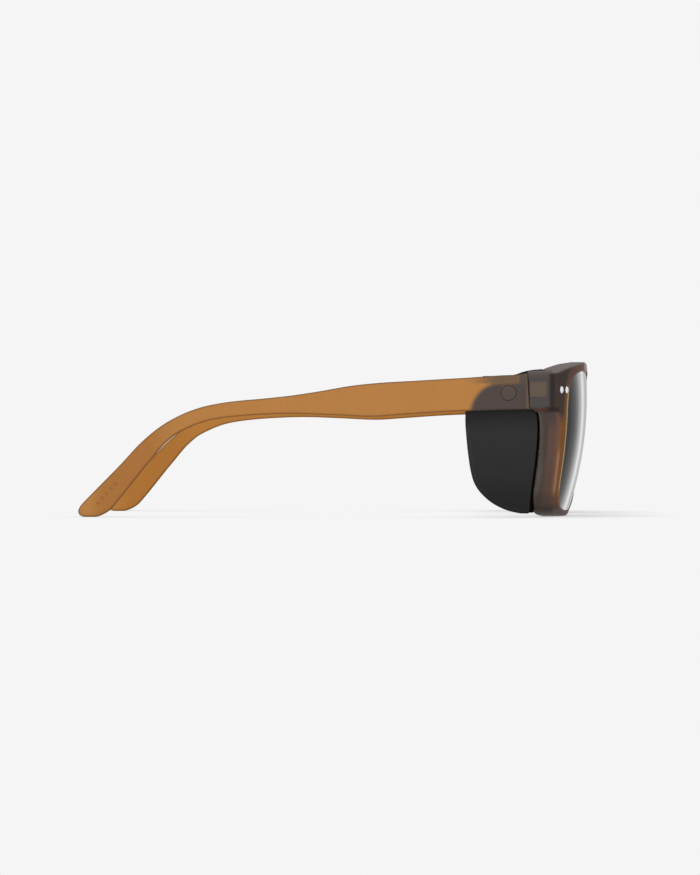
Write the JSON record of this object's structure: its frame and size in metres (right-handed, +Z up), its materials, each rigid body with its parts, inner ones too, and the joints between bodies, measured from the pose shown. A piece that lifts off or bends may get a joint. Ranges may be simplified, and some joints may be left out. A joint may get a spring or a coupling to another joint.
{
  "type": "glacier glasses",
  "caption": "Wrapped sunglasses with dark lenses, folding temples on barrel hinges and soft side shields held on press studs.",
  "frame": {"origin": "middle of the footprint of the open glasses, on the ground they stand on", "axes": "+Z up, -Y the way the lenses face, -X the wearer's right"},
  "size_m": [0.1468, 0.1491, 0.0456],
  "materials": {
    "frame": "frosted, slightly translucent",
    "temple": "frosted translucent amber",
    "lens": "dark grey tint, polished",
    "shield": "matte, soft",
    "hinge": "satin",
    "screw": "satin",
    "stud": "matte, tinted to match the temple",
    "socket": "satin",
    "pad": "matte, soft",
    "pin": "bright satin"
  },
  "bodies": {
    "front": {"front_frame": "frame", "lens_right": "lens", "lens_left": "lens", "front_leaf_right": "hinge", "front_leaf_left": "hinge", "hinge_screw_right": "screw", "hinge_screw_left": "screw", "nose_pad_right": "pad", "nose_pad_left": "pad", "corner_pins_right": "pin", "corner_pins_left": "pin"},
    "arm_right": {"temple_right": "temple", "temple_leaf_right": "hinge", "shield_stud_right": "stud"},
    "arm_left": {"temple_left": "temple", "temple_leaf_left": "hinge", "shield_stud_left": "stud"},
    "guard_right": {"shield_right": "shield", "stud_socket_right": "socket"},
    "guard_left": {"shield_left": "shield", "stud_socket_left": "socket"}
  },
  "joints": [
    {"name": "temple_fold_right", "type": "hinge", "parent": "front", "child": "arm_right", "pos_m": [-0.0685, -0.05565, 0.037], "axis": [0, 0, -1], "range_deg": [0, 82]},
    {"name": "temple_fold_left", "type": "hinge", "parent": "front", "child": "arm_left", "pos_m": [0.0685, -0.05565, 0.037], "axis": [0, 0, 1], "range_deg": [0, 70]},
    {"name": "shield_unsnap_right", "type": "slide", "parent": "arm_right", "child": "guard_right", "axis": [1, 0, 0], "range_m": [0, 0.001]},
    {"name": "shield_unsnap_left", "type": "slide", "parent": "arm_left", "child": "guard_left", "axis": [-1, 0, 0], "range_m": [0, 0.001]}
  ]
}
